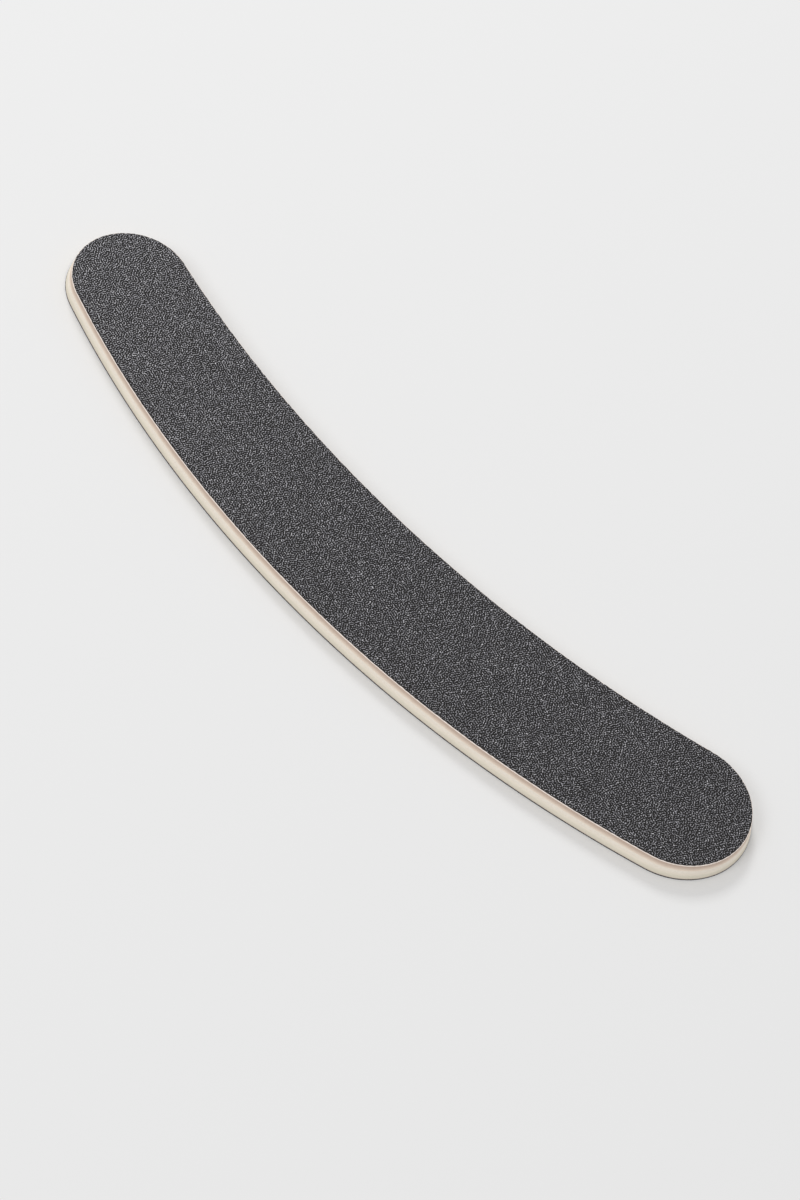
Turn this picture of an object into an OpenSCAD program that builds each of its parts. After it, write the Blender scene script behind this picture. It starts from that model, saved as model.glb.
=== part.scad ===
// Curved cushion nail board: two foam layers on a plastic core, faced on both sides
// with abrasive paper. The board lies flat on its bottom face, its bend opens to +Y,
// and the origin is the centre of its footprint, on the table.

/* [Board outline] */
// Overall length, measured straight from end to end
board_length = 178; // [150:1:200]
// Width at the middle, measured on the bottom face
board_width = 29.5; // [26:0.5:34]
// Radius of the concave long edge
concave_radius = 270; // [230:5:400]
// Radius of the narrow rounded end
narrow_end_radius = 12.5; // [9:0.25:14]
// Radius of the wide rounded end
wide_end_radius = 14.5; // [10:0.25:16]

/* [Laminate, per layer] */
// Thickness of one coat of abrasive grain and its resin
grit_thickness = 0.25; // [0.1:0.05:0.4]
// Thickness of one sheet of backing paper
paper_thickness = 0.15; // [0.1:0.01:0.3]
// Thickness of the adhesive film between paper and foam
film_thickness = 0.05; // [0.03:0.01:0.12]
// Thickness of one foam layer
foam_thickness = 1.15; // [0.8:0.05:3]
// Thickness of the adhesive between foam and core
core_film_thickness = 0.05; // [0.03:0.01:0.12]
// Thickness of the stiff plastic core
core_thickness = 0.7; // [0.4:0.1:1.5]

/* [Cut edge] */
// How far the die-cut wall leans in from the bottom face to the top face
wall_lean = 0.8; // [0.1:0.05:1]
// How far each foam edge curves in between the layers that it is glued to
foam_waist = 0.15; // [0.05:0.01:0.25]
// How far the top coat of grain stops short of its paper's edge
grit_setback = 0.1; // [0.02:0.01:0.2]

/* [Hidden] */

// Roundness of the long edges and of the ends
edge_fn = 720;
end_fn = 180;
// The ends stand this much proud of the long edges, so that their arcs cross cleanly
end_blend = 0.005;
// How far the wedge that trims the long edges reaches past them, in end radii
wedge_reach = 3;
// Straight steps along a foam layer's long edge, round half of its end, and up its wall
foam_edge_steps = 48;
foam_end_steps = 12;
foam_wall_steps = 6;

// Heights of the joins, from the table upwards
z_bottom_paper = grit_thickness;
z_bottom_film = z_bottom_paper + paper_thickness;
z_lower_foam = z_bottom_film + film_thickness;
z_lower_core_film = z_lower_foam + foam_thickness;
z_core = z_lower_core_film + core_film_thickness;
z_upper_core_film = z_core + core_thickness;
z_upper_foam = z_upper_core_film + core_film_thickness;
z_top_film = z_upper_foam + foam_thickness;
z_top_paper = z_top_film + film_thickness;
z_top_grit = z_top_paper + paper_thickness;
board_thickness = z_top_grit + grit_thickness;

// The outline is four arcs, each tangent to the next. It is worked out with the middle
// of the board's width at the origin, and then shifted to the centre of its footprint.
half_width = board_width / 2;
concave_centre_y = half_width + concave_radius;

// Place of an end's centre: its circle touches the concave edge and the overall length
function end_centre(side, r) =
    let (x = side * (board_length / 2 - r))
    [x, concave_centre_y - sqrt(pow(concave_radius + r, 2) - x * x)];

narrow_end = end_centre(-1, narrow_end_radius);
wide_end = end_centre(1, wide_end_radius);

// The convex edge is the circle through the lowest point of the middle that both end
// circles touch from inside. Its centre's x solves qa x^2 + qb x + qc = 0.
function drop(end, r) = 2 * (end[1] + half_width - r);
function reach(end, r) = pow(end[0], 2) + pow(end[1] + half_width, 2) - r * r;

narrow_drop = drop(narrow_end, narrow_end_radius);
wide_drop = drop(wide_end, wide_end_radius);
qa = wide_drop - narrow_drop;
qb = 2 * (wide_end[0] * narrow_drop - narrow_end[0] * wide_drop);
qc = reach(narrow_end, narrow_end_radius) * wide_drop
    - reach(wide_end, wide_end_radius) * narrow_drop;
convex_centre_x = -2 * qc / (qb + sqrt(qb * qb - 4 * qa * qc));
convex_radius = (reach(wide_end, wide_end_radius)
    - 2 * wide_end[0] * convex_centre_x + pow(convex_centre_x, 2)) / wide_drop;

concave_centre = [0, concave_centre_y];
convex_centre = [convex_centre_x, convex_radius - half_width];

// Shift from the middle of the width to the centre of the footprint
footprint_top = max(narrow_end[1] + narrow_end_radius, wide_end[1] + wide_end_radius);
footprint_shift = [0, (half_width - footprint_top) / 2, 0];

// How far the wall stands in from the bottom outline at a height
function lean_at(z) = wall_lean * z / board_thickness;

// Unit vector from one point to another, and its direction
function toward(a, b) = (b - a) / norm(b - a);
function bearing(a, b) = atan2(b[1] - a[1], b[0] - a[0]);

// The outline with true arcs, drawn in by inset all round
module outline(inset) {
    far = wedge_reach * max(narrow_end_radius, wide_end_radius);
    intersection() {
        difference() {
            translate(convex_centre) circle(convex_radius - inset, $fn = edge_fn);
            translate(concave_centre) circle(concave_radius + inset, $fn = edge_fn);
        }
        polygon([
            narrow_end,
            narrow_end + far * toward(convex_centre, narrow_end),
            wide_end + far * toward(convex_centre, wide_end),
            wide_end,
            wide_end + far * toward(wide_end, concave_centre),
            narrow_end + far * toward(narrow_end, concave_centre)
        ]);
    }
    translate(narrow_end) circle(narrow_end_radius - inset + end_blend, $fn = end_fn);
    translate(wide_end) circle(wide_end_radius - inset + end_blend, $fn = end_fn);
}

// One flat layer of the laminate, from height z0 up to z1
module layer(z0, z1, setback = 0) {
    translate(footprint_shift + [0, 0, z0])
        linear_extrude(z1 - z0)
            outline(lean_at((z0 + z1) / 2) + setback);
}

// Points along an arc in equal steps, without its last one
function arc(centre, r, from, to, steps) = [
    for (i = [0 : steps - 1])
        let (a = from + (to - from) * i / steps)
        centre + r * [cos(a), sin(a)]
];

// The same outline as points, counter-clockwise from the tip of the narrow end. Point i
// and the i-th from last face each other across the board.
function outline_points(inset) =
    let (
        narrow_r = narrow_end_radius - inset,
        wide_r = wide_end_radius - inset,
        narrow_low = bearing(convex_centre, narrow_end),
        wide_low = bearing(convex_centre, wide_end),
        narrow_high = bearing(narrow_end, concave_centre) - 360,
        wide_high = bearing(wide_end, concave_centre),
        narrow_tip = (narrow_low + narrow_high) / 2,
        wide_tip = (wide_low + wide_high) / 2
    )
    concat(
        arc(narrow_end, narrow_r, narrow_tip, narrow_low, foam_end_steps),
        arc(convex_centre, convex_radius - inset, narrow_low, wide_low, foam_edge_steps),
        arc(wide_end, wide_r, wide_low, wide_tip, foam_end_steps),
        arc(wide_end, wide_r, wide_tip, wide_high, foam_end_steps),
        arc(concave_centre, concave_radius + inset, wide_high - 180,
            narrow_high + 180, foam_edge_steps),
        arc(narrow_end, narrow_r, narrow_high, narrow_tip, foam_end_steps)
    );

// One foam layer from height z0 up to z1: rings of points up its wall, which leans as the
// others do and curves in as a parabola, foam_waist deep at its middle
module foam_layer(z0, z1) {
    rings = [
        for (k = [0 : foam_wall_steps])
            let (t = k / foam_wall_steps, z = z0 + t * (z1 - z0))
            [
                for (p = outline_points(lean_at(z) + 4 * foam_waist * t * (1 - t)))
                    [p[0], p[1], z]
            ]
    ];
    n = len(rings[0]);
    top = foam_wall_steps * n;
    walls = [
        for (k = [0 : foam_wall_steps - 1], i = [0 : n - 1])
            let (a = k * n + i, b = k * n + (i + 1) % n)
            each [[a, a + n, b + n], [a, b + n, b]]
    ];
    faces = [
        for (i = [0 : n / 2 - 1])
            let (j = (n - i) % n, strip = [[i, i + 1, n - i - 1], [i, n - i - 1, j]])
            for (f = strip)
                if (f[0] != f[1] && f[1] != f[2] && f[2] != f[0]) f
    ];
    lids = [for (f = faces) each [f, [top + f[2], top + f[1], top + f[0]]]];
    translate(footprint_shift)
        polyhedron([for (ring = rings) each ring], concat(walls, lids));
}

// Grain bonded in resin on the upper face, the working surface seen from above
module top_abrasive_coat() {
    color("#535355") layer(z_top_grit, board_thickness, setback = grit_setback);
}

// Paper that carries the upper grain; its cut edge is the thin pale line
module top_backing_paper() {
    color("#d4c5bb") layer(z_top_paper, z_top_grit);
}

// Double-sided film that glues the upper paper to its foam
module top_adhesive_film() {
    color("#e6e1d2") layer(z_top_film, z_top_paper);
}

// Upper cushion
module upper_foam() {
    color("#d6c3b4") foam_layer(z_upper_foam, z_top_film);
}

// Adhesive between the upper cushion and the core
module upper_core_adhesive() {
    color("#e6e1d2") layer(z_upper_core_film, z_upper_foam);
}

// Stiff plastic strip that lets the board flex and spring back
module plastic_core() {
    color("#e4ddd6") layer(z_core, z_upper_core_film);
}

// Adhesive between the core and the lower cushion
module lower_core_adhesive() {
    color("#e6e1d2") layer(z_lower_core_film, z_core);
}

// Lower cushion
module lower_foam() {
    color("#d8cbb8") foam_layer(z_lower_foam, z_lower_core_film);
}

// Double-sided film that glues the lower paper to its foam
module bottom_adhesive_film() {
    color("#e6e1d2") layer(z_bottom_film, z_lower_foam);
}

// Paper that carries the lower grain
module bottom_backing_paper() {
    color("#d4c5bb") layer(z_bottom_paper, z_bottom_film);
}

// Grain bonded in resin on the lower face, on which the board lies
module bottom_abrasive_coat() {
    color("#535355") layer(0, z_bottom_paper);
}

top_abrasive_coat();
top_backing_paper();
top_adhesive_film();
upper_foam();
upper_core_adhesive();
plastic_core();
lower_core_adhesive();
lower_foam();
bottom_adhesive_film();
bottom_backing_paper();
bottom_abrasive_coat();
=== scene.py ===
"""Half-moon cushion nail board, dressed around its plain laminate.

The board is a flat laminate: a stiff core between two foam cushions, faced on both
sides with abrasive paper. Every layer is rebuilt on the same outline of four arcs, with
the cut edge, the crushed grain and the finishes that the plain solids leave out.
All lengths are in metres.
"""

import logging
import math
from collections.abc import Callable, Sequence
from dataclasses import dataclass, field
from enum import Enum
from functools import cache, cached_property
from typing import ClassVar

import bpy
import numpy as np
from mathutils import Euler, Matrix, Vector


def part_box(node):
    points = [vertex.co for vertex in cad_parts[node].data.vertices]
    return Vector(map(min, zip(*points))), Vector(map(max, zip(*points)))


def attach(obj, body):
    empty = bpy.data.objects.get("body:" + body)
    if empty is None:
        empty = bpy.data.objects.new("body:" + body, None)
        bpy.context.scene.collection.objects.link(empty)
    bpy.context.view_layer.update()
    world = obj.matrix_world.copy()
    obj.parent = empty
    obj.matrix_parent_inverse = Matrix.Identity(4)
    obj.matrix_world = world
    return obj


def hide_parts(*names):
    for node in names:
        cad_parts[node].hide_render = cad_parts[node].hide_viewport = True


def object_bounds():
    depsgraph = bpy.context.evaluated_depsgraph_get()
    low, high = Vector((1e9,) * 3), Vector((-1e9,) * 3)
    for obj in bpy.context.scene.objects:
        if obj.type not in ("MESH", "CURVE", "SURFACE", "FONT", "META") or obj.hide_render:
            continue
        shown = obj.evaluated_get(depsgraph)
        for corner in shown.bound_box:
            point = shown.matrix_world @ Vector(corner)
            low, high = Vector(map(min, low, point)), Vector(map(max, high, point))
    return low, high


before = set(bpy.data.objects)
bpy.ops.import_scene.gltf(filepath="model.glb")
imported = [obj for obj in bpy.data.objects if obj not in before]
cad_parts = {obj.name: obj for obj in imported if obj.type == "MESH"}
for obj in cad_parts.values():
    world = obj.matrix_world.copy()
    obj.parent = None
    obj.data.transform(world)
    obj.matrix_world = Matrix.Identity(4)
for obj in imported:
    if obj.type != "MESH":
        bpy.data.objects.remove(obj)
CAD_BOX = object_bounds()

LOG = logging.getLogger("nail_board")
BODY = "root"
MM = 0.001
TINY = 1e-9
BAKE_MAP = "OFBake"
Colour = tuple[float, float, float]


class Side(Enum):
    """The two faces of the board, by the way they look along Z."""

    TOP = 1
    BOTTOM = -1


def bearing(start: np.ndarray, end: np.ndarray) -> float:
    """Direction from one point to another, in radians."""
    return math.atan2(end[1] - start[1], end[0] - start[0])


@dataclass(frozen=True)
class Arc:
    """A stretch of the outline.

    Args:
        centre: The arc's centre.
        radius: Its radius on the bottom face.
        start: Angle of its first point, in radians.
        end: Angle of its last point.
        steps: Straight steps along it.
        bulge: 1 where the outline bulges outwards, -1 where it bends in.
    """

    centre: np.ndarray
    radius: float
    start: float
    end: float
    steps: int
    bulge: int = 1

    @property
    def spokes(self) -> np.ndarray:
        """Unit vectors from the centre to the arc's points, without its last one."""
        angle = np.linspace(self.start, self.end, self.steps, endpoint=False)
        return np.stack([np.cos(angle), np.sin(angle)], axis=1)


@dataclass(frozen=True)
class Outline:
    """The board seen from above: four arcs, each tangent to the next.

    The concave edge and the two round ends are given. Each end's circle touches the
    concave edge and the overall length, and the convex edge is the circle that both
    end circles touch from inside and that leaves the board its width at the middle.

    Args:
        length: Straight length from end to end.
        width: Width at the middle, on the bottom face.
        concave_radius: Radius of the concave edge.
        narrow_radius: Radius of the narrow end.
        wide_radius: Radius of the wide end.
        edge_steps: Straight steps along each long edge.
        end_steps: Straight steps round half of each end.
    """

    length: float = 178.0 * MM
    width: float = 29.5 * MM
    concave_radius: float = 270.0 * MM
    narrow_radius: float = 12.5 * MM
    wide_radius: float = 14.5 * MM
    edge_steps: int = 600
    end_steps: int = 72

    def end_centre(self, side: int, radius: float) -> np.ndarray:
        """Centre of an end's circle.

        Args:
            side: -1 for the narrow end, 1 for the wide one.
            radius: The end's radius.

        Returns:
            The centre, measured from the middle of the board's width.
        """
        x = side * (self.length / 2 - radius)
        rise = math.sqrt((self.concave_radius + radius) ** 2 - x * x)
        return np.array([x, self.width / 2 + self.concave_radius - rise])

    @cached_property
    def circles(self) -> dict[str, tuple[np.ndarray, float]]:
        """Centre and radius of each circle, with the footprint's centre at the origin.

        The convex circle passes through the lowest point of the middle, so its centre
        lies at (x, R - w / 2). That both ends touch it from inside gives R in terms of
        x twice, and equating the two gives a quadratic in x.

        Returns:
            Centres and radii by name: narrow, wide, convex and concave.
        """
        half = self.width / 2
        ends = {
            "narrow": (self.end_centre(-1, self.narrow_radius), self.narrow_radius),
            "wide": (self.end_centre(1, self.wide_radius), self.wide_radius),
        }
        drop = {k: 2 * (c[1] + half - r) for k, (c, r) in ends.items()}
        reach = {k: c[0] ** 2 + (c[1] + half) ** 2 - r * r for k, (c, r) in ends.items()}
        narrow_x, wide_x = ends["narrow"][0][0], ends["wide"][0][0]
        square = drop["wide"] - drop["narrow"]
        linear = 2 * (wide_x * drop["narrow"] - narrow_x * drop["wide"])
        rest = reach["narrow"] * drop["wide"] - reach["wide"] * drop["narrow"]
        x = -2 * rest / (linear + math.sqrt(linear**2 - 4 * square * rest))
        radius = (reach["wide"] - 2 * wide_x * x + x * x) / drop["wide"]
        top = max(c[1] + r for c, r in ends.values())
        shift = np.array([0.0, (half - top) / 2])
        found = {
            **ends,
            "convex": (np.array([x, radius - half]), radius),
            "concave": (np.array([0.0, half + self.concave_radius]), self.concave_radius),
        }
        return {k: (c + shift, r) for k, (c, r) in found.items()}

    @cached_property
    def arcs(self) -> list[Arc]:
        """The arcs in order, counter-clockwise from the tip of the narrow end.

        Returns:
            The two long edges, and each end as two arcs that meet at its tip.
        """
        names = ("narrow", "wide", "convex", "concave")
        (narrow, narrow_r), (wide, wide_r), (convex, convex_r), (concave, concave_r) = (
            self.circles[name] for name in names
        )
        half_turn = math.pi
        narrow_low, wide_low = bearing(convex, narrow), bearing(convex, wide)
        narrow_high = bearing(narrow, concave) - 2 * half_turn
        wide_high = bearing(wide, concave)
        narrow_tip, wide_tip = (narrow_low + narrow_high) / 2, (wide_low + wide_high) / 2
        edge, end = self.edge_steps, self.end_steps
        return [
            Arc(narrow, narrow_r, narrow_tip, narrow_low, end),
            Arc(convex, convex_r, narrow_low, wide_low, edge),
            Arc(wide, wide_r, wide_low, wide_tip, end),
            Arc(wide, wide_r, wide_tip, wide_high, end),
            Arc(concave, concave_r, wide_high - half_turn, narrow_high + half_turn, edge, -1),
            Arc(narrow, narrow_r, narrow_high, narrow_tip, end),
        ]

    @cached_property
    def normals(self) -> np.ndarray:
        """Outward unit vectors at the rim's points, as an (n, 2) array."""
        return np.concatenate([arc.bulge * arc.spokes for arc in self.arcs])

    @cached_property
    def rim(self) -> np.ndarray:
        """Outline points on the bottom face, an (n, 2) array; point i faces point n - i."""
        return np.concatenate([arc.centre + arc.radius * arc.spokes for arc in self.arcs])

    def nearest(self, points: np.ndarray) -> tuple[np.ndarray, np.ndarray]:
        """How deep points lie inside the outline, and which way is out.

        In the sector of a round end the depth is the radius less the distance to its
        centre. Elsewhere it is the smaller of the depths from the two long edges.

        Args:
            points: Places on the board, as an (n, 2) array.

        Returns:
            Depths, positive inside, and outward unit vectors as an (n, 2) array.
        """
        away = {k: points - centre for k, (centre, _) in self.circles.items()}
        far = {k: np.linalg.norm(v, axis=1) for k, v in away.items()}
        depth = {k: r - far[k] for k, (_, r) in self.circles.items()}
        depth["concave"] = -depth["concave"]
        out = {k: v / np.maximum(far[k], TINY)[:, None] for k, v in away.items()}
        out["concave"] = -out["concave"]
        low = depth["convex"] < depth["concave"]
        best = np.where(low, depth["convex"], depth["concave"])
        way = np.where(low[:, None], out["convex"], out["concave"])
        concave, convex = self.circles["concave"][0], self.circles["convex"][0]
        for name, side in (("narrow", -1), ("wide", 1)):
            centre = self.circles[name][0]
            past = np.ones(len(points), bool)
            for spoke in (centre - convex, concave - centre):
                cross = spoke[0] * away[name][:, 1] - spoke[1] * away[name][:, 0]
                upward = 1 if spoke[1] < 0 else -1
                past &= side * upward * cross > 0
            best = np.where(past, depth[name], best)
            way = np.where(past[:, None], out[name], way)
        return best, way


@dataclass(frozen=True)
class Waves:
    """A smooth random field: the sum of plane waves of random directions and phases.

    Args:
        wavelength: Mean distance from crest to crest.
        seed: Start of the random numbers.
        spread: Share by which the wavelengths differ.
        count: Number of waves.
    """

    wavelength: float
    seed: int
    spread: float = 0.3
    count: int = 40

    @cached_property
    def waves(self) -> tuple[np.ndarray, np.ndarray]:
        """The waves, drawn at random.

        Returns:
            Wave vectors in the plane, as a (count, 2) array, and phases.
        """
        rng = np.random.default_rng(self.seed)
        way = rng.uniform(0, 2 * math.pi, self.count)
        length = self.wavelength * (1 + self.spread * rng.uniform(-1, 1, self.count))
        vectors = np.stack([np.cos(way), np.sin(way)], axis=1) / length[:, None]
        return 2 * math.pi * vectors, rng.uniform(0, 2 * math.pi, self.count)

    def at(self, points: np.ndarray) -> np.ndarray:
        """Value at each point, with mean 0 and standard deviation 1.

        Each wave is cos(k . p + phase), and their sum is divided by the root of half
        their number.

        Args:
            points: Places as an (..., 2) array.

        Returns:
            Values as an (...) array.
        """
        vectors, phases = self.waves
        total = np.zeros(points.shape[:-1])
        for k, phase in zip(vectors, phases, strict=True):
            total += np.cos(points @ k + phase)
        return total / math.sqrt(self.count / 2)

    def slope(self, points: np.ndarray) -> np.ndarray:
        """The field's slope at each point: its waves' -k sin(k . p + phase), summed.

        Args:
            points: Places as an (n, 2) array.

        Returns:
            Slopes as an (n, 2) array.
        """
        vectors, phases = self.waves
        total = np.zeros(points.shape)
        for k, phase in zip(vectors, phases, strict=True):
            total -= np.sin(points @ k + phase)[:, None] * k
        return total / math.sqrt(self.count / 2)


@dataclass(frozen=True)
class Faces:
    """Faces with equally many corners, and where their corners lie on the piece's map.

    Args:
        corners: Vertex numbers as an (n, k) array.
        places: Map places as an (n, k, 2) array, from 0 to 1.
    """

    corners: np.ndarray
    places: np.ndarray

    def turned(self, over: bool) -> "Faces":
        """The same faces, turned over if asked."""
        step = -1 if over else 1
        return Faces(self.corners[:, ::step], self.places[:, ::step])


def mesh_object(name: str, points: np.ndarray, faces: Sequence[Faces]) -> bpy.types.Object:
    """Puts arrays into a mesh object at the origin.

    Args:
        name: The piece's name.
        points: Vertices as an (n, 3) array.
        faces: The faces, in groups.

    Returns:
        The new object, linked into the scene.
    """
    sizes = np.concatenate([np.full(len(f.corners), f.corners.shape[1]) for f in faces])
    corners = np.concatenate([f.corners.ravel() for f in faces])
    places = np.concatenate([f.places.ravel() for f in faces])
    mesh = bpy.data.meshes.new(name)
    mesh.vertices.add(len(points))
    mesh.vertices.foreach_set("co", points.astype(np.float32).ravel())
    mesh.loops.add(len(corners))
    mesh.loops.foreach_set("vertex_index", corners.astype(np.int32))
    mesh.polygons.add(len(sizes))
    starts = np.concatenate([[0], np.cumsum(sizes)[:-1]])
    mesh.polygons.foreach_set("loop_start", starts.astype(np.int32))
    mesh.update(calc_edges=True)
    bake_map = mesh.uv_layers.new(name=BAKE_MAP)
    bake_map.uv.foreach_set("vector", places.astype(np.float32))
    mesh.validate()
    piece = bpy.data.objects.new(name, mesh)
    bpy.context.scene.collection.objects.link(piece)
    return piece


def shade(piece: bpy.types.Object, crease_deg: float) -> None:
    """Shades a piece smoothly, apart from edges of crease_deg degrees and more."""
    piece.data.shade_smooth()
    piece.data.set_sharp_from_angle(angle=math.radians(crease_deg))


@dataclass(frozen=True)
class CutEdge:
    """The die-cut wall round the whole laminate.

    Args:
        thickness: Height of the laminate.
        lean: How far the wall leans in from the bottom face to the top face.
    """

    thickness: float
    lean: float = 0.8 * MM

    def inset(self, z: np.ndarray | float) -> np.ndarray | float:
        """How far the wall stands in from the bottom outline at a height."""
        return self.lean * z / self.thickness


@dataclass
class Slab:
    """A closed layer: a profile carried round the outline, and a lid on either side.

    Point (u, v) of the wall is rim(u) - inset(u, v) * normal(u), at height z(v). A lid
    is ruled: its point (u, t) is a share t of the way from rim point u to the point
    that faces it across the board.

    Args:
        outline: The board's outline.
        heights: Heights of the wall's rings, from the bottom up.
        insets: How far each ring stands in, as an (m, 1) or (m, n) array.
        across: Steps across each lid.
        lid_share: Share of the map's height that the two lids take.
        map_rows: Rows of the map that the wall is cut into.
        map_strips: Strips of the map that each lid is cut into.
        map_gap: Share of a row or strip that stays empty beside its faces.
    """

    outline: Outline
    heights: np.ndarray
    insets: np.ndarray
    across: int = 1
    lid_share: float = 0.1
    map_rows: int = 16
    map_strips: int = 3
    map_gap: float = 0.08

    @cached_property
    def wall(self) -> np.ndarray:
        """The wall's rings, from the bottom up.

        Returns:
            Points as an (m, n, 3) array.
        """
        rim, normals = self.outline.rim, self.outline.normals
        flat = rim[None] - self.insets[..., None] * normals[None]
        high = np.broadcast_to(self.heights[:, None, None], (*flat.shape[:2], 1))
        return np.concatenate([flat, high], axis=2)

    def wall_faces(self) -> Faces:
        """The wall's faces, on rows of the map that are stacked above the lids.

        The wall is cut into runs of equally many points. Along a row goes the length
        round the outline, and up it the ring.

        Returns:
            The four-sided faces.
        """
        rings, n = self.wall.shape[:2]
        ring = np.arange(rings * n).reshape(rings, n)
        after = np.roll(ring, -1, axis=1)
        corners = np.stack([ring[:-1], after[:-1], after[1:], ring[1:]], axis=2)
        flat = self.wall[0, :, :2]
        steps = np.linalg.norm(np.roll(flat, -1, axis=0) - flat, axis=1)
        reach = np.concatenate([[0], np.cumsum(steps)])
        row = np.arange(n) * self.map_rows // n
        start = reach[np.searchsorted(row, np.arange(self.map_rows))]
        longest = np.diff(np.append(start, reach[-1])).max()
        near, far = (reach[:-1] - start[row]) / longest, (reach[1:] - start[row]) / longest
        along = np.stack([near, far, far, near], axis=1)[None]
        low = np.arange(rings - 1)[:, None, None]
        share = (low + np.array([0, 0, 1, 1])) / (rings - 1)
        up = (row[None, :, None] + self.map_gap + (1 - 2 * self.map_gap) * share) / self.map_rows
        up = self.lid_share + (1 - self.lid_share) * up
        places = np.stack([np.broadcast_to(along, up.shape), up], axis=-1)
        return Faces(corners.reshape(-1, 4), places.reshape(-1, 4, 2))

    def lid(self, ring: int, first: int) -> tuple[np.ndarray, np.ndarray]:
        """One lid's inner points and the grid of vertex numbers over it.

        Args:
            ring: The wall's ring that the lid closes.
            first: Vertex number of the lid's first inner point.

        Returns:
            Inner points as a (k, 3) array, and numbers as a (n / 2 + 1, across + 1)
            array, with one row for each pair of facing points.
        """
        rings, n = self.wall.shape[:2]
        ring %= rings
        near = np.arange(n // 2 + 1)
        far = -near % n
        share = np.linspace(0, 1, self.across + 1)[None, 1:-1, None]
        a, b = self.wall[ring, near[1:-1], None], self.wall[ring, far[1:-1], None]
        inner = a + share * (b - a)
        grid = np.repeat(ring * n + near[:, None], self.across + 1, axis=1)
        grid[:, -1] = ring * n + far
        grid[1:-1, 1:-1] = first + np.arange(inner[..., 0].size).reshape(inner.shape[:2])
        return inner.reshape(-1, 3), grid

    def lid_faces(self, points: np.ndarray, grid: np.ndarray, column: int) -> list[Faces]:
        """One lid's faces, seen from above on the map, in strips below the wall's rows.

        Args:
            points: All of the slab's vertices.
            grid: Vertex numbers over the lid.
            column: 0 for the map's left half, 1 for its right half.

        Returns:
            The four-sided faces, and the three-sided ones at the two ends.
        """
        cells = np.stack([grid[:-1, :-1], grid[1:, :-1], grid[1:, 1:], grid[:-1, 1:]], axis=2)
        places = points[cells][..., :2]
        strip = np.arange(len(cells)) * self.map_strips // len(cells)
        widest = 0.0
        for number in range(self.map_strips):
            part = places[strip == number]
            part -= part.min(axis=(0, 1, 2))
            places[strip == number] = part
            widest = np.maximum(widest, part.max(axis=(0, 1, 2)))
        places *= (1 - self.map_gap) / widest
        places[..., 0] = (places[..., 0] + column) / 2
        places[..., 1] = (places[..., 1] + strip[:, None, None]) * self.lid_share / self.map_strips
        ends = ((0, [0, 1, 2]), (-1, [0, 1, 3]))
        tips = [Faces(cells[row][:, kept], places[row][:, kept]) for row, kept in ends]
        middle = Faces(cells[1:-1].reshape(-1, 4), places[1:-1].reshape(-1, 4, 2))
        return [middle, *tips]

    def build(
        self, name: str, relief: Callable[[np.ndarray], np.ndarray] | None = None
    ) -> bpy.types.Object:
        """Makes the piece.

        Args:
            name: The piece's name.
            relief: Gives how far each inner point of both lids is raised.

        Returns:
            The new object.
        """
        rings, n = self.wall.shape[:2]
        low, low_grid = self.lid(0, rings * n)
        high, high_grid = self.lid(-1, rings * n + len(low))
        if relief is not None:
            for lid in (low, high):
                lid[:, 2] += relief(lid[:, :2])
        points = np.concatenate([self.wall.reshape(-1, 3), low, high])
        under = self.lid_faces(points, low_grid, 0)
        over = self.lid_faces(points, high_grid, 1)
        lids = [faces.turned(True) for faces in under] + over
        return mesh_object(name, points, [self.wall_faces(), *lids])


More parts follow.
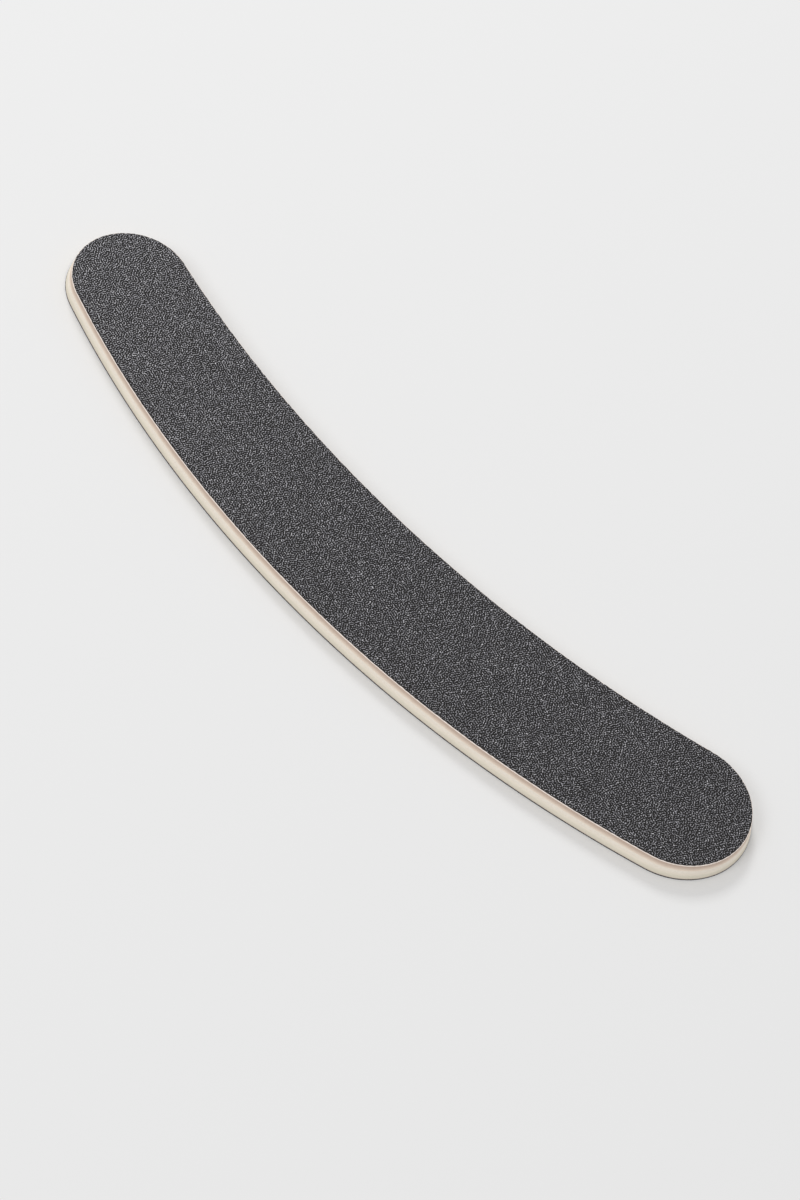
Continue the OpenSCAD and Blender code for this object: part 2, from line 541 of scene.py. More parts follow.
class Shader:
    """Adds nodes to one material and links them."""

    def __init__(self, name: str) -> None:
        """Starts a material with a Principled shader.

        Args:
            name: The material's name.
        """
        self.material = bpy.data.materials.new(name)
        self.material.use_nodes = True
        self.tree = self.material.node_tree
        self.surface = self.tree.nodes["Principled BSDF"]

    def add(
        self, kind: str, inputs: dict[str | int, object], **settings: object
    ) -> bpy.types.Node:
        """Adds a node.

        Args:
            kind: The node's type.
            inputs: A value or an output socket for each input that is set, by the
                input's name or number.
            settings: The node's own properties.

        Returns:
            The node.
        """
        node = self.tree.nodes.new(kind)
        for name, value in settings.items():
            setattr(node, name, value)
        for name, value in inputs.items():
            self.set(node, name, value)
        return node

    def set(self, node: bpy.types.Node, name: str | int, value: object) -> None:
        """Gives one input a value, or links an output socket to it.

        Args:
            node: The node.
            name: The input's name or number.
            value: The value or the output socket.
        """
        if isinstance(value, bpy.types.NodeSocket):
            self.tree.links.new(value, node.inputs[name])
        else:
            node.inputs[name].default_value = value

    def place(self) -> bpy.types.NodeSocket:
        """The surface point, in metres from the board's origin."""
        return self.add("ShaderNodeTexCoord", {}).outputs["Object"]

    def noise(self, size: float, detail: float = 2.0) -> bpy.types.NodeSocket:
        """Cloudy noise, about 0.5 on average, of blotches about as wide as size."""
        inputs = {"Vector": self.place(), "Scale": 1 / size, "Detail": detail}
        return self.add("ShaderNodeTexNoise", inputs).outputs["Fac"]

    def graded(
        self, stops: Sequence[tuple[float, Colour]], cloud: bpy.types.NodeSocket, stray: float
    ) -> bpy.types.NodeSocket:
        """Colours by height, with cloudy borders.

        The height's share of the way up, times 1 - stray, plus the cloud's value times
        stray, is looked up in the colours.

        Args:
            stops: Heights and the linear colours there, from the bottom up.
            cloud: Noise that shifts the borders.
            stray: Share of the whole height by which it shifts them.

        Returns:
            The colour.
        """
        low, high = stops[0][0], stops[-1][0]
        height = self.add("ShaderNodeSeparateXYZ", {"Vector": self.place()}).outputs["Z"]
        inputs = {"Value": height, "From Min": low, "From Max": high, "To Max": 1 - stray}
        share = self.add("ShaderNodeMapRange", inputs).outputs["Result"]
        inputs = {0: cloud, 1: stray, 2: share}
        moved = self.add("ShaderNodeMath", inputs, operation="MULTIPLY_ADD")
        shares = [((z - low) / (high - low), colour) for z, colour in stops]
        stops = [(stray / 2 + (1 - stray) * share, colour) for share, colour in shares]
        return self.ramp(moved.outputs["Value"], stops)

    def ramp(
        self, factor: bpy.types.NodeSocket, stops: Sequence[tuple[float, Colour]]
    ) -> bpy.types.NodeSocket:
        """Colours by a value.

        Args:
            factor: The value.
            stops: Values and the linear colours there, in order.

        Returns:
            The colour.
        """
        node = self.add("ShaderNodeValToRGB", {"Fac": factor})
        band = node.color_ramp
        while len(band.elements) < len(stops):
            band.elements.new(0.5)
        for element, (place, colour) in zip(band.elements, stops, strict=True):
            element.position = place
            element.color = (*colour, 1.0)
        return node.outputs["Color"]

    def paint(
        self, colour: bpy.types.NodeSocket | Sequence[float], roughness: float, specular: float
    ) -> None:
        """Sets the surface's colour and gloss.

        Args:
            colour: A colour and its alpha, or the output socket of a colour.
            roughness: The roughness, the same all over.
            specular: The specular level, the same all over.
        """
        self.set(self.surface, "Base Color", colour)
        self.set(self.surface, "Roughness", roughness)
        self.set(self.surface, "Specular IOR Level", specular)

    def bump(self, height: bpy.types.NodeSocket, depth: float, strength: float) -> None:
        """Roughens the surface.

        Args:
            height: The relief, from 0 to 1.
            depth: The relief's full depth.
            strength: Share of it that shows.
        """
        inputs = {"Height": height, "Distance": depth, "Strength": strength}
        node = self.add("ShaderNodeBump", inputs)
        self.set(self.surface, "Normal", node.outputs["Normal"])


def srgb(red: float, green: float, blue: float) -> Colour:
    """A linear colour from display values of 0 to 255.

    Values up to 0.04045 of full are divided by 12.92, and the rest follow the curve
    ((v + 0.055) / 1.055) ^ 2.4.

    Args:
        red: Display value of red.
        green: Display value of green.
        blue: Display value of blue.

    Returns:
        The colour, from 0 to 1.
    """
    values = np.array([red, green, blue]) / 255
    curve = ((values + 0.055) / 1.055) ** 2.4
    return tuple(float(v) for v in np.where(values <= 0.04045, values / 12.92, curve))


@dataclass(frozen=True)
class GrainFinish:
    """One kind of crushed stone: stained by resin at its foot, bare on its ridge.

    Its colour also paints light: darker towards the foot for the shade between the
    stones, and pale on its ridge for their highlights.

    Args:
        name: The material's name.
        foot: Colour at tone 0, where resin covers the stone and the painted shade is darkest.
        flank: Colour at the flank's tone.
        ridge: Colour at tone 1, where the stone is bare; so pale that it paints highlights.
        flank_tone: The flank's tone.
        roughness: Roughness of the stone.
        specular: Specular level of the stone.
        attribute: Mesh attribute that holds the tone.
    """

    name: str
    foot: Colour
    flank: Colour
    ridge: Colour
    flank_tone: float = 0.55
    roughness: float = 0.42
    specular: float = 0.22
    attribute: str = "tone"

    def material(self) -> bpy.types.Material:
        """Builds the material.

        Returns:
            The material, whose colour follows the tone.
        """
        shader = Shader(self.name)
        tone = shader.add("ShaderNodeAttribute", {}, attribute_name=self.attribute)
        stops = ((0.0, self.foot), (self.flank_tone, self.flank), (1.0, self.ridge))
        colour = shader.ramp(tone.outputs["Fac"], stops)
        shader.paint(colour, self.roughness, self.specular)
        return shader.material


@dataclass(frozen=True)
class CloudedFinish:
    """A finish of two colours that mix in clouds, with a fine relief.

    Args:
        name: The material's name.
        light: Its lighter colour.
        dark: Its darker colour.
        blend: Noise values at which the dark and the light colour are reached.
        cloud: Width of the clouds.
        cloud_detail: Finer octaves in them.
        bumps: Width of the bumps.
        bump_depth: Their depth.
        relief: Share of that depth that shows.
        roughness: Its roughness.
        specular: Its specular level.
    """

    name: str
    light: Colour
    dark: Colour
    blend: tuple[float, float]
    cloud: float
    cloud_detail: float
    bumps: float
    bump_depth: float
    relief: float
    roughness: float
    specular: float

    def material(self) -> bpy.types.Material:
        """Builds the material.

        Returns:
            The material, in clouds of its two colours.
        """
        shader = Shader(self.name)
        stops = tuple(zip(self.blend, (self.dark, self.light), strict=True))
        colour = shader.ramp(shader.noise(self.cloud, self.cloud_detail), stops)
        shader.paint(colour, self.roughness, self.specular)
        shader.bump(shader.noise(self.bumps), self.bump_depth, self.relief)
        return shader.material


@dataclass(frozen=True)
class ResinFinish(CloudedFinish):
    """Resin that bonds the grain: nearly black, with a faint brown cast."""

    name: str = "bonding_resin"
    light: Colour = srgb(42, 40, 40)
    dark: Colour = srgb(32, 31, 31)
    blend: tuple[float, float] = (0.35, 0.65)
    cloud: float = 0.5 * MM
    cloud_detail: float = 2.0
    bumps: float = 0.12 * MM
    bump_depth: float = 0.03 * MM
    relief: float = 1.0
    roughness: float = 0.6
    specular: float = 0.15


@dataclass(frozen=True)
class PaperFinish(CloudedFinish):
    """Backing paper, seen on its cut edge: clumps of short fibres, slightly pink.

    The lower sheet's edge is darker: painted shade, where it lies in shade by the floor.
    """

    name: str = "backing_paper_edge"
    light: Colour = srgb(252, 242, 234)
    dark: Colour = srgb(238, 222, 211)
    blend: tuple[float, float] = (0.3, 0.6)
    cloud: float = 0.35 * MM
    cloud_detail: float = 4.0
    bumps: float = 0.08 * MM
    bump_depth: float = 0.02 * MM
    relief: float = 0.6
    roughness: float = 0.8
    specular: float = 0.5


@dataclass(frozen=True)
class PlasticFinish(CloudedFinish):
    """Plastic strip or adhesive film: pale, with the faint drag marks of the die."""

    blend: tuple[float, float] = (0.3, 0.7)
    cloud: float = 0.4 * MM
    cloud_detail: float = 3.0
    bumps: float = 0.4 * MM
    bump_depth: float = 0.01 * MM
    relief: float = 0.5
    roughness: float = 0.6
    specular: float = 0.3


@dataclass(frozen=True)
class FoamFinish:
    """Closed-cell foam on its cut edge, darker towards the face that it carries.

    On the upper cushion that darkening is painted shade under the upper paper.

    Args:
        name: The material's name.
        node: The plain solid from whose foot the heights are measured.
        stops: Heights above the foot and the colours there, from the bottom up.
        stray: Share of the whole height by which clouds shift the colours.
        cloud: Width of the clouds.
        cloud_detail: Finer octaves in them.
        cell: Width of the foam's cells.
        cell_depth: Their depth.
        relief: Share of that depth that shows.
        roughness: Roughness of the foam.
        specular: Specular level of the foam.
    """

    name: str
    node: str
    stops: tuple[tuple[float, Colour], ...]
    stray: float = 0.25
    cloud: float = 2.5 * MM
    cloud_detail: float = 3.0
    cell: float = 0.12 * MM
    cell_depth: float = 0.015 * MM
    relief: float = 0.7
    roughness: float = 0.75
    specular: float = 0.5

    def material(self) -> bpy.types.Material:
        """Builds the material.

        Returns:
            The material: colours by height with cloudy borders, and cells.
        """
        shader = Shader(self.name)
        foot, _ = span(self.node)
        stops = [(foot + height, colour) for height, colour in self.stops]
        cloud = shader.noise(self.cloud, self.cloud_detail)
        colour = shader.graded(stops, cloud, self.stray)
        inputs = {"Vector": shader.place(), "Scale": 1 / self.cell}
        cells = shader.add("ShaderNodeTexVoronoi", inputs).outputs["Distance"]
        shader.paint(colour, self.roughness, self.specular)
        shader.bump(cells, self.cell_depth, self.relief)
        return shader.material


Finish = GrainFinish | CloudedFinish | FoamFinish

RESIN = ResinFinish()
# The near-white ridges paint highlights; the dark feet are resin and painted shade.
BLACK_GRAIN = GrainFinish("black_grain", srgb(30, 30, 31), srgb(68, 67, 71), srgb(236, 235, 242))
GREY_GRAIN = GrainFinish("grey_grain", srgb(30, 30, 31), srgb(74, 73, 77), srgb(252, 251, 255))
PAPER = PaperFinish()
# Painted shade: the lower paper's edge is darker, as it lies in shade by the floor.
LOWER_PAPER_PAINTED_SHADE = PaperFinish("lower_paper_edge_painted_shade", srgb(212, 200, 188), srgb(192, 179, 166))
UPPER_FILM = PlasticFinish("upper_film", srgb(214, 198, 186), srgb(200, 180, 166))
LOWER_FILM = PlasticFinish("lower_film", srgb(222, 213, 198), srgb(206, 196, 180))
GLUE = PlasticFinish("core_glue_cut", srgb(242, 231, 216), srgb(234, 221, 205))
CORE = PlasticFinish("core_strip_cut", srgb(243, 234, 221), srgb(236, 226, 212))
# Pinkish foam whose darkening from the core up to the paper is painted shade.
UPPER_FOAM_PAINTED_SHADE = FoamFinish(
    "upper_foam_cut", "upper_foam",
    (
        (0.00 * MM, srgb(236, 221, 204)),
        (0.30 * MM, srgb(215, 196, 180)),
        (0.60 * MM, srgb(201, 181, 165)),
        (0.90 * MM, srgb(200, 178, 162)),
        (1.15 * MM, srgb(193, 171, 155)),
    ),
)
LOWER_FOAM = FoamFinish(
    "lower_foam_cut", "lower_foam",
    (
        (0.00 * MM, srgb(220, 212, 194)),
        (0.50 * MM, srgb(228, 220, 203)),
        (0.80 * MM, srgb(238, 229, 213)),
        (1.15 * MM, srgb(243, 232, 217)),
    ),
)


@cache
def material_of(finish: Finish) -> bpy.types.Material:
    """The finish's material, made once."""
    return finish.material()


def dress(piece: bpy.types.Object, finish: Finish, node: str) -> bpy.types.Object:
    """Gives a piece its finish and its body, and hides the solid that it stands for.

    Args:
        piece: The piece.
        finish: What it is made of.
        node: The plain solid that it replaces.

    Returns:
        The piece.
    """
    piece.data.materials.append(material_of(finish))
    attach(piece, BODY)
    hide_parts(node)
    return piece


def span(node: str) -> tuple[float, float]:
    """Lowest and highest point of a plain solid."""
    low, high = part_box(node)
    return low.z, high.z


@dataclass
class Sheet:
    """One flat layer of the laminate, cut through by the die.

    Args:
        name: The piece's name.
        node: The plain solid that it replaces.
        finish: What it is made of.
        slot: Name of a material slot; not used.
        outline: The board's outline.
        edge: The cut wall.
        rings: Rings up its wall.
        crease_deg: Angle from which its edges are sharp.
    """

    name: str
    node: str
    finish: Finish
    slot: str
    outline: Outline
    edge: CutEdge
    rings: int = 3
    crease_deg: float = 40.0

    def insets(self, heights: np.ndarray) -> np.ndarray:
        """How far the rings at some heights stand in, as an (m, 1) array."""
        return self.edge.inset(heights)[:, None]

    def build(self) -> list[bpy.types.Object]:
        """Makes the layer: rings up its wall, and flat lids.

        Returns:
            The piece, in a list of one.
        """
        heights = np.linspace(*span(self.node), self.rings)
        piece = Slab(self.outline, heights, self.insets(heights)).build(self.name)
        shade(piece, self.crease_deg)
        return [dress(piece, self.finish, self.node)]


@dataclass
class Cushion(Sheet):
    """A foam layer, whose cut edge curves in between the layers it is glued to.

    The other fields are those of any sheet.

    Args:
        waist: How far it curves in at mid height.
        ripple: How far the edge strays where the die dragged the foam.
        ripple_length: Wavelength at which it strays.
        seed: Start of the random numbers.
    """

    rings: int = 17
    crease_deg: float = 50.0
    waist: float = 0.15 * MM
    ripple: float = 0.012 * MM
    ripple_length: float = 5.0 * MM
    seed: int = 11

    def insets(self, heights: np.ndarray) -> np.ndarray:
        """How far the rings stand in: the wall's lean and a parabola, waist deep.

        A slow ripple along the edge fades out at the glued joints with the parabola,
        4 t (1 - t) at a share t of the way up.

        Args:
            heights: Heights of the rings.

        Returns:
            Insets as an (m, n) array.
        """
        share = np.linspace(0, 1, self.rings)[:, None]
        bow = 4 * share * (1 - share)
        ripple = Waves(self.ripple_length, self.seed).at(self.outline.rim)[None]
        return super().insets(heights) + bow * (self.waist + self.ripple * ripple)

    def build(self) -> list[bpy.types.Object]:
        """Makes the foam as any sheet is made; it stays flat between its glued faces.

        Returns:
            The piece, in a list of one.
        """
        pieces = super().build()
        return pieces


@dataclass
class Grain:
    """Crushed stones that stand in a bed of resin.

    A stone is a splinter like a hipped roof: four foot points round a base and two
    ridge points above it, all moved about at random, with eight faces in all. While
    the resin was wet it drew the stones together into winding chains, along which
    they lie.

    Args:
        outline: The board's outline.
        margin: How deep inside the bottom outline the stones stop.
        floor: Height of the stones' feet.
        crest: Height of the tallest ridges, below the feet on the lower face.
        seed: Start of the random numbers.
        pitch: Distance between stones before the resin moves them.
        shake: Share of the pitch by which they are shaken.
        chain_gap: Distance between chains.
        chain_spread: Share by which that distance differs.
        chain_waves: Number of waves that make the chains.
        length: Length of a stone, along its chain.
        breadth: Breadth of a stone.
        size_range: Least and greatest share of those sizes that a stone has.
        stray_turn: Standard deviation of its turn away from the chain, in radians.
        chip: Share of its size by which its points are shaken.
        lowest: Height of the lowest ridges, as a share of the tallest.
        painted_light_tones: Mean tones at the narrow end, the middle and the wide end; their
            rise towards the narrow end is painted light.
        tone_spread: Standard deviation of the stones' tones.
        stain_and_shade: How much lower the tone is at the feet: resin staining, and painted shade.
        glint_share: Share of the stones that get a painted glint.
        glint: How much higher their tone is, which paints the glint.
        grey_share: Share of the stones that are grey.
        cell_fill: Share of its cell of the map that a stone takes.
    """

    outline: Outline
    margin: float
    floor: float
    crest: float
    seed: int
    pitch: float = 0.43 * MM
    shake: float = 0.18
    chain_gap: float = 0.47 * MM
    chain_spread: float = 0.08
    chain_waves: int = 64
    length: float = 0.48 * MM
    breadth: float = 0.27 * MM
    size_range: tuple[float, float] = (0.75, 1.2)
    stray_turn: float = 0.2
    chip: float = 0.12
    lowest: float = 0.6
    painted_light_tones: tuple[float, float, float] = (0.96, 0.885, 0.86)
    tone_spread: float = 0.04
    stain_and_shade: float = 0.9
    glint_share: float = 0.05
    glint: float = 0.3
    grey_share: float = 0.5
    cell_fill: float = 0.85

    # The splinter's points, in half lengths and half breadths, and its outward faces
    FEET: ClassVar[tuple] = ((-1, -1), (1, -1), (1, 1), (-1, 1))
    RIDGE: ClassVar[tuple] = ((-0.45, 0.0), (0.45, 0.0))
    FACES: ClassVar[tuple] = (
        (0, 3, 2), (0, 2, 1),
        (0, 1, 5), (0, 5, 4), (1, 2, 5), (2, 3, 4), (2, 4, 5), (3, 0, 4),
    )

    def spots(self, rng: np.random.Generator) -> np.ndarray:
        """Places over the board: a lattice of equal triangles, shaken.

        Args:
            rng: The random numbers.

        Returns:
            Places as an (n, 2) array.
        """
        rim = self.outline.rim
        low, high = rim.min(axis=0), rim.max(axis=0)
        row = self.pitch * math.sqrt(3) / 2
        x = np.arange(low[0], high[0], self.pitch)
        y = np.arange(low[1], high[1], row)
        grid = np.stack(np.meshgrid(x, y, indexing="xy"), axis=2)
        grid[1::2, :, 0] += self.pitch / 2
        spots = grid.reshape(-1, 2)
        return spots + self.pitch * self.shake * rng.uniform(-1, 1, spots.shape)

    def chains(self, spots: np.ndarray) -> tuple[np.ndarray, np.ndarray]:
        """Draws places up the slope onto the crests of a field of even waves.

        With value f and slope g, a place lies about atan2(|g| / k, f) / k away from
        the nearest crest, where k is 2 pi over the wavelength.

        Args:
            spots: Places as an (n, 2) array.

        Returns:
            The new places, and the chains' directions there, in radians.
        """
        waves = Waves(self.chain_gap, self.seed, self.chain_spread, self.chain_waves)
        k = 2 * math.pi / self.chain_gap
        slope = waves.slope(spots)
        steep = np.linalg.norm(slope, axis=1)
        away = np.arctan2(steep / k, waves.at(spots)) / k
        step = (away / np.maximum(steep, TINY))[:, None] * slope
        return spots + step, np.arctan2(slope[:, 0], -slope[:, 1])

    def stones(self, rng: np.random.Generator) -> np.ndarray:
        """The stones, each with its feet first and then its ridge.

        Each is the plain splinter, stretched, shaken at its points, turned along its
        chain and drawn back inside the margin.

        Args:
            rng: The random numbers.

        Returns:
            Points as a (count, 6, 3) array.
        """
        spots, turn = self.chains(self.spots(rng))
        inside = self.outline.nearest(spots)[0] > self.margin
        spots, turn = spots[inside], turn[inside]
        count = len(spots)
        turn = turn + rng.normal(scale=self.stray_turn, size=count)
        shape = np.array(self.FEET + self.RIDGE, float)
        size = np.array([self.length, self.breadth])
        size = size * rng.uniform(*self.size_range, (count, 2))
        local = shape[None] * size[:, None] / 2
        local += rng.uniform(-self.chip, self.chip, local.shape) * size[:, None]
        along = np.stack([np.cos(turn), np.sin(turn)], axis=1)[:, None]
        cross = np.stack([-np.sin(turn), np.cos(turn)], axis=1)[:, None]
        flat = spots[:, None] + local[..., :1] * along + local[..., 1:] * cross
        depth, out = self.outline.nearest(flat.reshape(-1, 2))
        over = np.maximum(self.margin - depth, 0)
        flat = flat - (over[:, None] * out).reshape(flat.shape)
        high = np.zeros((count, len(shape)))
        high[:, len(self.FEET):] = rng.uniform(self.lowest, 1.0, (count, len(self.RIDGE)))
        height = self.floor + (self.crest - self.floor) * high
        return np.concatenate([flat, height[..., None]], axis=2)

    def tones(self, stones: np.ndarray, rng: np.random.Generator) -> np.ndarray:
        """How bare of resin the stones are at their points, from 0 to 1, plus painted light.

        Each stone has its own tone, about a mean that changes evenly from the narrow
        end to the middle and on to the wide end; it is highest at the narrow end to paint
        the stronger light there. A few stones get a painted glint, and the feet of all are
        darker: the resin stains them, and painted shade lies between the stones.

        Args:
            stones: Points as a (count, 6, 3) array.
            rng: The random numbers.

        Returns:
            Tones as a (count, 6) array.
        """
        count = len(stones)
        half = self.outline.length / 2
        # Painted light: the mean tone rises towards the narrow end, where more light falls.
        tone = np.interp(stones[:, 0, 0], (-half, 0.0, half), self.painted_light_tones)
        tone += self.tone_spread * rng.normal(size=count)
        # Painted glint: a few stones are raised towards the pale ridge colour.
        tone += self.glint * (rng.random(count) < self.glint_share)
        # Darker feet: the resin stains them, and painted shade lies between the stones.
        stain_and_shade = np.repeat([self.stain_and_shade, 0.0], [len(self.FEET), len(self.RIDGE)])
        return (tone[:, None] - stain_and_shade).clip(0, 1)

    def piece(self, name: str, stones: np.ndarray, tones: np.ndarray) -> bpy.types.Object:
        """Makes one piece of some of the stones.

        On the map, each stone has its own cell of a square grid.

        Args:
            name: The piece's name.
            stones: Points as a (count, 6, 3) array.
            tones: Tones as a (count, 6) array.

        Returns:
            The new object, with the tones as an attribute.
        """
        count, each = stones.shape[:2]
        number = np.arange(count)
        side = math.ceil(math.sqrt(count))
        cell = np.stack([number % side, number // side], axis=1)[:, None, None]
        local = (1 + self.cell_fill * np.array(self.FEET + self.RIDGE)) / 2
        plan = np.array(self.FACES)
        places = (cell + local[plan][None]) / side
        faces = Faces(
            (plan[None] + each * number[:, None, None]).reshape(-1, 3),
            places.reshape(-1, 3, 2),
        ).turned(self.crest < self.floor)
        piece = mesh_object(name, stones.reshape(-1, 3), [faces])
        attribute = piece.data.attributes.new(GrainFinish.attribute, "FLOAT", "POINT")
        attribute.data.foreach_set("value", tones.astype(np.float32).ravel())
        return piece

    def build(self, word: str) -> list[tuple[bpy.types.Object, GrainFinish]]:
        """Makes the stones, one piece for each kind.

        Args:
            word: Start of the pieces' names.

        Returns:
            The pieces and their finishes.
        """
        rng = np.random.default_rng(self.seed)
        stones = self.stones(rng)
        tones = self.tones(stones, rng)
        grey = rng.random(len(stones)) < self.grey_share
        kinds = ((BLACK_GRAIN, ~grey), (GREY_GRAIN, grey))
        return [
            (self.piece(f"{word}_{kind.name}", stones[mine], tones[mine]), kind)
            for kind, mine in kinds
        ]


@dataclass
class AbrasiveFace:
    """One working face: grain in resin, the paper that carries it, and its adhesive.

    Args:
        side: Which face of the board.
        outline: The board's outline.
        edge: The cut wall.
        setback: How far the upper resin stops short of its paper's edge.
        ragged: How far the upper resin's edge strays.
        ragged_length: Wavelength at which it strays.
        bare_rim: Width of the upper resin's rim that holds no stones.
        rings: Rings up the resin's wall.
        across: Steps across its lids.
        lid_share: Share of its map's height that its lids take.
        crease_deg: Angle from which its edges are sharp.
        swell: How far its surface swells and sinks.
        swell_length: Wavelength of the swell.
        seed: Start of the random numbers.
        resin_share: Thickness of the resin, as a share of the coat's.
        feet_share: Distance from the paper to the stones' feet, as such a share.
    """

    side: Side
    outline: Outline
    edge: CutEdge
    setback: float = 0.09 * MM
    ragged: float = 0.02 * MM
    ragged_length: float = 1.3 * MM
    bare_rim: float = 0.06 * MM
    rings: int = 3
    across: int = 40
    lid_share: float = 0.9
    crease_deg: float = 50.0
    swell: float = 0.012 * MM
    swell_length: float = 1.4 * MM
    seed: int = 21
    resin_share: dict[Side, float] = field(
        default_factory=lambda: {Side.TOP: 0.25, Side.BOTTOM: 0.85}
    )
    feet_share: dict[Side, float] = field(
        default_factory=lambda: {Side.TOP: 0.15, Side.BOTTOM: 0.5}
    )

    @property
    def word(self) -> str:
        """The face's name."""
        return self.side.name.lower()

    def coat(self) -> list[bpy.types.Object]:
        """Makes the resin bed and the grain that stands out of it.

        Returns:
            The bed, the black stones and the grey ones.
        """
        node = f"{self.word}_abrasive_coat"
        low, high = span(node)
        near, far = (low, high) if self.side is Side.TOP else (high, low)
        skin = near + self.resin_share[self.side] * (far - near)
        heights = np.linspace(min(near, skin), max(near, skin), self.rings)
        insets = self.edge.inset(heights)[:, None]
        bare_rim = 0.0
        if self.side is Side.TOP:
            rags = Waves(self.ragged_length, self.seed).at(self.outline.rim)
            insets = insets + self.setback + self.ragged * rags
            bare_rim = self.bare_rim
        swell = Waves(self.swell_length, self.seed)
        bed = Slab(self.outline, heights, insets, self.across, self.lid_share).build(
            f"{self.word}_resin_bed", lambda flat: self.swell * swell.at(flat)
        )
        shade(bed, self.crease_deg)
        dress(bed, RESIN, node)
        margin = float(insets.mean(axis=1).max()) + bare_rim
        feet = near + self.feet_share[self.side] * (far - near)
        grain = Grain(self.outline, margin, feet, far, self.seed + self.side.value)
        pieces = grain.build(self.word)
        return [bed] + [dress(p, finish, node) for p, finish in pieces]

    def build(self) -> list[bpy.types.Object]:
        """Makes the face's layers.

        Returns:
            The pieces of the coat, the paper and the film.
        """
        paper = Sheet(
            f"{self.word}_paper_sheet", f"{self.word}_backing_paper",
            PAPER if self.side is Side.TOP else LOWER_PAPER_PAINTED_SHADE,
            "backing_paper", self.outline, self.edge,
        )
        film = Sheet(
            f"{self.word}_film_sheet", f"{self.word}_adhesive_film",
            UPPER_FILM if self.side is Side.TOP else LOWER_FILM,
            "adhesive_film", self.outline, self.edge,
        )
        return self.coat() + paper.build() + film.build()


@dataclass
class Middle:
    """The core strip, the two cushions and the adhesive between them.

    Args:
        outline: The board's outline.
        edge: The cut wall.
    """

    outline: Outline
    edge: CutEdge

    def build(self) -> list[bpy.types.Object]:
        """Makes the five layers between the two films.

        Returns:
            The pieces, from the top down.
        """
        shape = (self.outline, self.edge)
        layers = [
            Cushion("upper_cushion", "upper_foam", UPPER_FOAM_PAINTED_SHADE, "upper_cushion_foam", *shape),
            Sheet("upper_glue_line", "upper_core_adhesive", GLUE, "adhesive_film", *shape),
            Sheet("core_strip", "plastic_core", CORE, "core_plastic", *shape),
            Sheet("lower_glue_line", "lower_core_adhesive", GLUE, "adhesive_film", *shape),
            Cushion(
                "lower_cushion", "lower_foam", LOWER_FOAM, "lower_cushion_foam", *shape,
                waist=0.05 * MM,
            ),
        ]
        return [piece for layer in layers for piece in layer.build()]


@dataclass(frozen=True)
class Lamp:
    """A square soft lamp that is aimed at the board's centre.

    Args:
        name: Its name.
        place: Where it stands.
        size: Width of its panel.
        power: Its power in watts.
    """

    name: str
    place: tuple[float, float, float]
    size: float
    power: float

    def build(self) -> None:
        """Adds the lamp."""
        data = bpy.data.lights.new(self.name, "AREA")
        data.shape = "SQUARE"
        data.size = self.size
        data.energy = self.power
        lamp = bpy.data.objects.new(self.name, data)
        lamp.location = self.place
        lamp.rotation_euler = (-Vector(self.place)).to_track_quat("-Z", "Y").to_euler()
        bpy.context.scene.collection.objects.link(lamp)


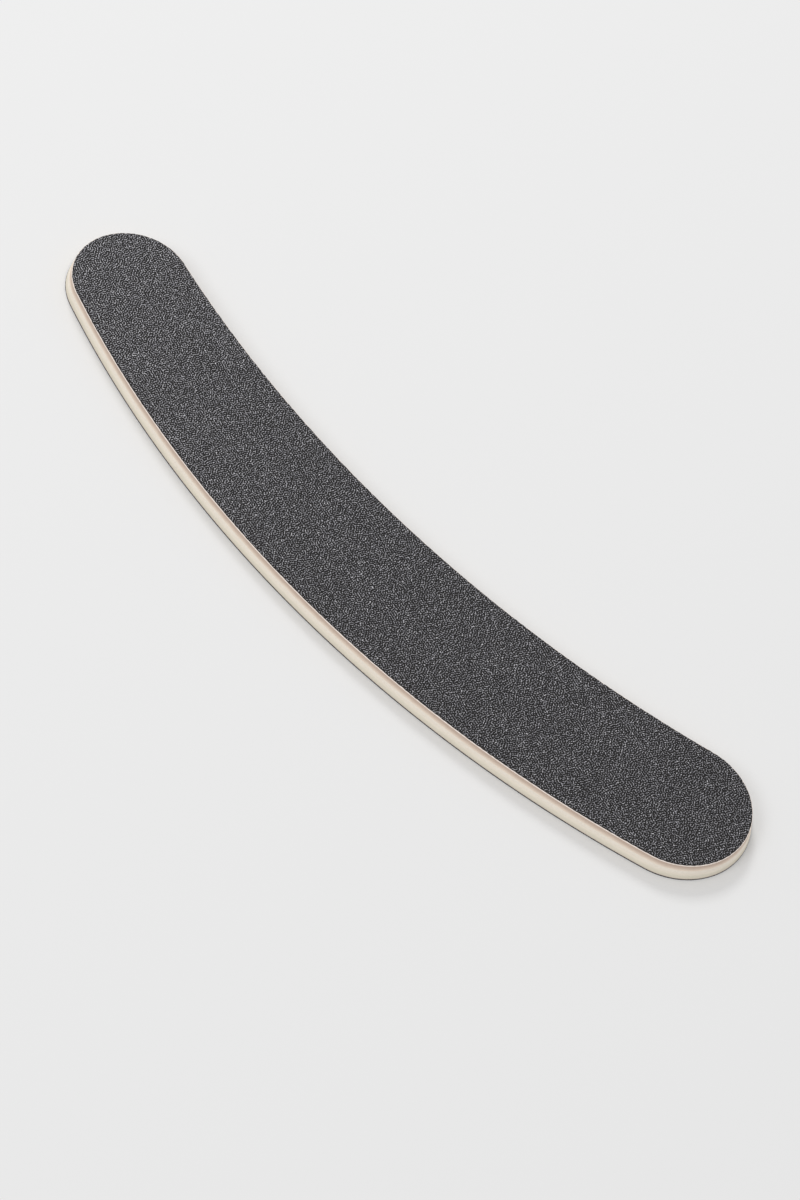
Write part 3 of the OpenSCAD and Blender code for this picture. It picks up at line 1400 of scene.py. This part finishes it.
@dataclass
class Studio:
    """A plain pale floor, soft lamps and the camera.

    Args:
        floor_width: Width of the square floor.
        floor_drop: How far it lies below the board.
        floor_gap: Length below which a ray passes through it.
        floor_colour: Its colour.
        floor_roughness: Its roughness.
        backdrop: Colour seen past the floor.
        ambient: Colour of the light from all round.
        ambient_strength: Strength of that light.
        lens: The camera's focal length, in millimetres.
        sensor: The long side of its sensor, in millimetres.
        camera_place: Where the camera stands.
        camera_turn_deg: How it is turned, about X, then Y, then Z.
        lamps: The lamps.
    """

    floor_width: float = 12.0
    floor_drop: float = 0.01 * MM
    floor_gap: float = 0.35 * MM
    floor_colour: Colour = srgb(232, 232, 232)
    floor_roughness: float = 0.9
    backdrop: Colour = srgb(240, 240, 240)
    ambient: Colour = (1.0, 1.0, 1.0)
    ambient_strength: float = 0.70
    lens: float = 135.0
    sensor: float = 36.0
    camera_place: tuple[float, float, float] = (0.254508, -0.453588, 0.675653)
    camera_turn_deg: tuple[float, float, float] = (35.65964, -11.64243, 44.29632)
    lamps: Sequence[Lamp] = field(
        default_factory=lambda: (
            Lamp("key", (-0.35, -1.15, 1.2), 0.7, 5.5),
            Lamp("back", (-0.95, 0.70, 0.95), 0.40, 7.2),
        )
    )

    def floor(self) -> None:
        """Adds the floor.

        It is clear from below, and to light within a hair of what lies on it, so that
        the lower face can be seen and is lit.
        """
        half = self.floor_width / 2
        corners = ((-1, -1), (1, -1), (1, 1), (-1, 1))
        points = np.array([(half * x, half * y, -self.floor_drop) for x, y in corners])
        faces = Faces(np.arange(4)[None], (np.array(corners)[None] + 1) / 2)
        floor = mesh_object("floor", points, [faces])
        shader = Shader("pale_floor")
        shader.paint((*self.floor_colour, 1.0), self.floor_roughness, 0.0)
        below = shader.add("ShaderNodeNewGeometry", {}).outputs["Backfacing"]
        reach = shader.add("ShaderNodeLightPath", {}).outputs["Ray Length"]
        inputs = {0: reach, 1: self.floor_gap}
        close = shader.add("ShaderNodeMath", inputs, operation="LESS_THAN").outputs["Value"]
        either = shader.add("ShaderNodeMath", {0: below, 1: close}, operation="MAXIMUM")
        clear = shader.add("ShaderNodeBsdfTransparent", {})
        mix = shader.add("ShaderNodeMixShader", {"Fac": either.outputs["Value"]})
        links = shader.tree.links
        links.new(shader.surface.outputs["BSDF"], mix.inputs[1])
        links.new(clear.outputs["BSDF"], mix.inputs[2])
        output = shader.tree.nodes["Material Output"]
        links.new(mix.outputs["Shader"], output.inputs["Surface"])
        floor.data.materials.append(shader.material)

    def world(self) -> None:
        """Sets the light from all round, and the pale backdrop that is seen directly."""
        world = bpy.data.worlds.new("studio")
        bpy.context.scene.world = world
        world.use_nodes = True
        tree = world.node_tree
        light = tree.nodes["Background"]
        light.inputs["Color"].default_value = (*self.ambient, 1.0)
        light.inputs["Strength"].default_value = self.ambient_strength
        seen = tree.nodes.new("ShaderNodeBackground")
        seen.inputs["Color"].default_value = (*self.backdrop, 1.0)
        seen.inputs["Strength"].default_value = 1.0
        path = tree.nodes.new("ShaderNodeLightPath")
        mix = tree.nodes.new("ShaderNodeMixShader")
        direct = path.outputs["Is Camera Ray"]
        for ray in ("Is Glossy Ray", "Is Transmission Ray"):
            either = tree.nodes.new("ShaderNodeMath")
            either.operation = "MAXIMUM"
            tree.links.new(direct, either.inputs[0])
            tree.links.new(path.outputs[ray], either.inputs[1])
            direct = either.outputs["Value"]
        tree.links.new(direct, mix.inputs["Fac"])
        tree.links.new(light.outputs["Background"], mix.inputs[1])
        tree.links.new(seen.outputs["Background"], mix.inputs[2])
        tree.links.new(mix.outputs["Shader"], tree.nodes["World Output"].inputs["Surface"])

    def camera(self) -> None:
        """Adds the camera at the photograph's angle."""
        data = bpy.data.cameras.new("camera")
        data.lens = self.lens
        data.sensor_width = self.sensor
        camera = bpy.data.objects.new("camera", data)
        camera.location = self.camera_place
        turn = [math.radians(angle) for angle in self.camera_turn_deg]
        camera.rotation_euler = Euler(turn, "XYZ")
        bpy.context.scene.collection.objects.link(camera)
        bpy.context.scene.camera = camera

    def build(self) -> None:
        """Sets up the stage, the light and the camera."""
        self.camera()
        self.floor()
        self.world()
        for lamp in self.lamps:
            lamp.build()
        bpy.context.scene.view_settings.view_transform = "Standard"


def main() -> None:
    """Builds the studio and the board's sub-assemblies in order."""
    logging.basicConfig(level=logging.INFO, format="%(name)s: %(message)s")
    Studio().build()
    outline = Outline()
    edge = CutEdge(thickness=CAD_BOX[1].z - CAD_BOX[0].z)
    parts = (
        AbrasiveFace(Side.TOP, outline, edge),
        Middle(outline, edge),
        AbrasiveFace(Side.BOTTOM, outline, edge),
    )
    for part in parts:
        for piece in part.build():
            LOG.info("%s: %d faces", piece.name, len(piece.data.polygons))


if __name__ == "__main__":
    main()
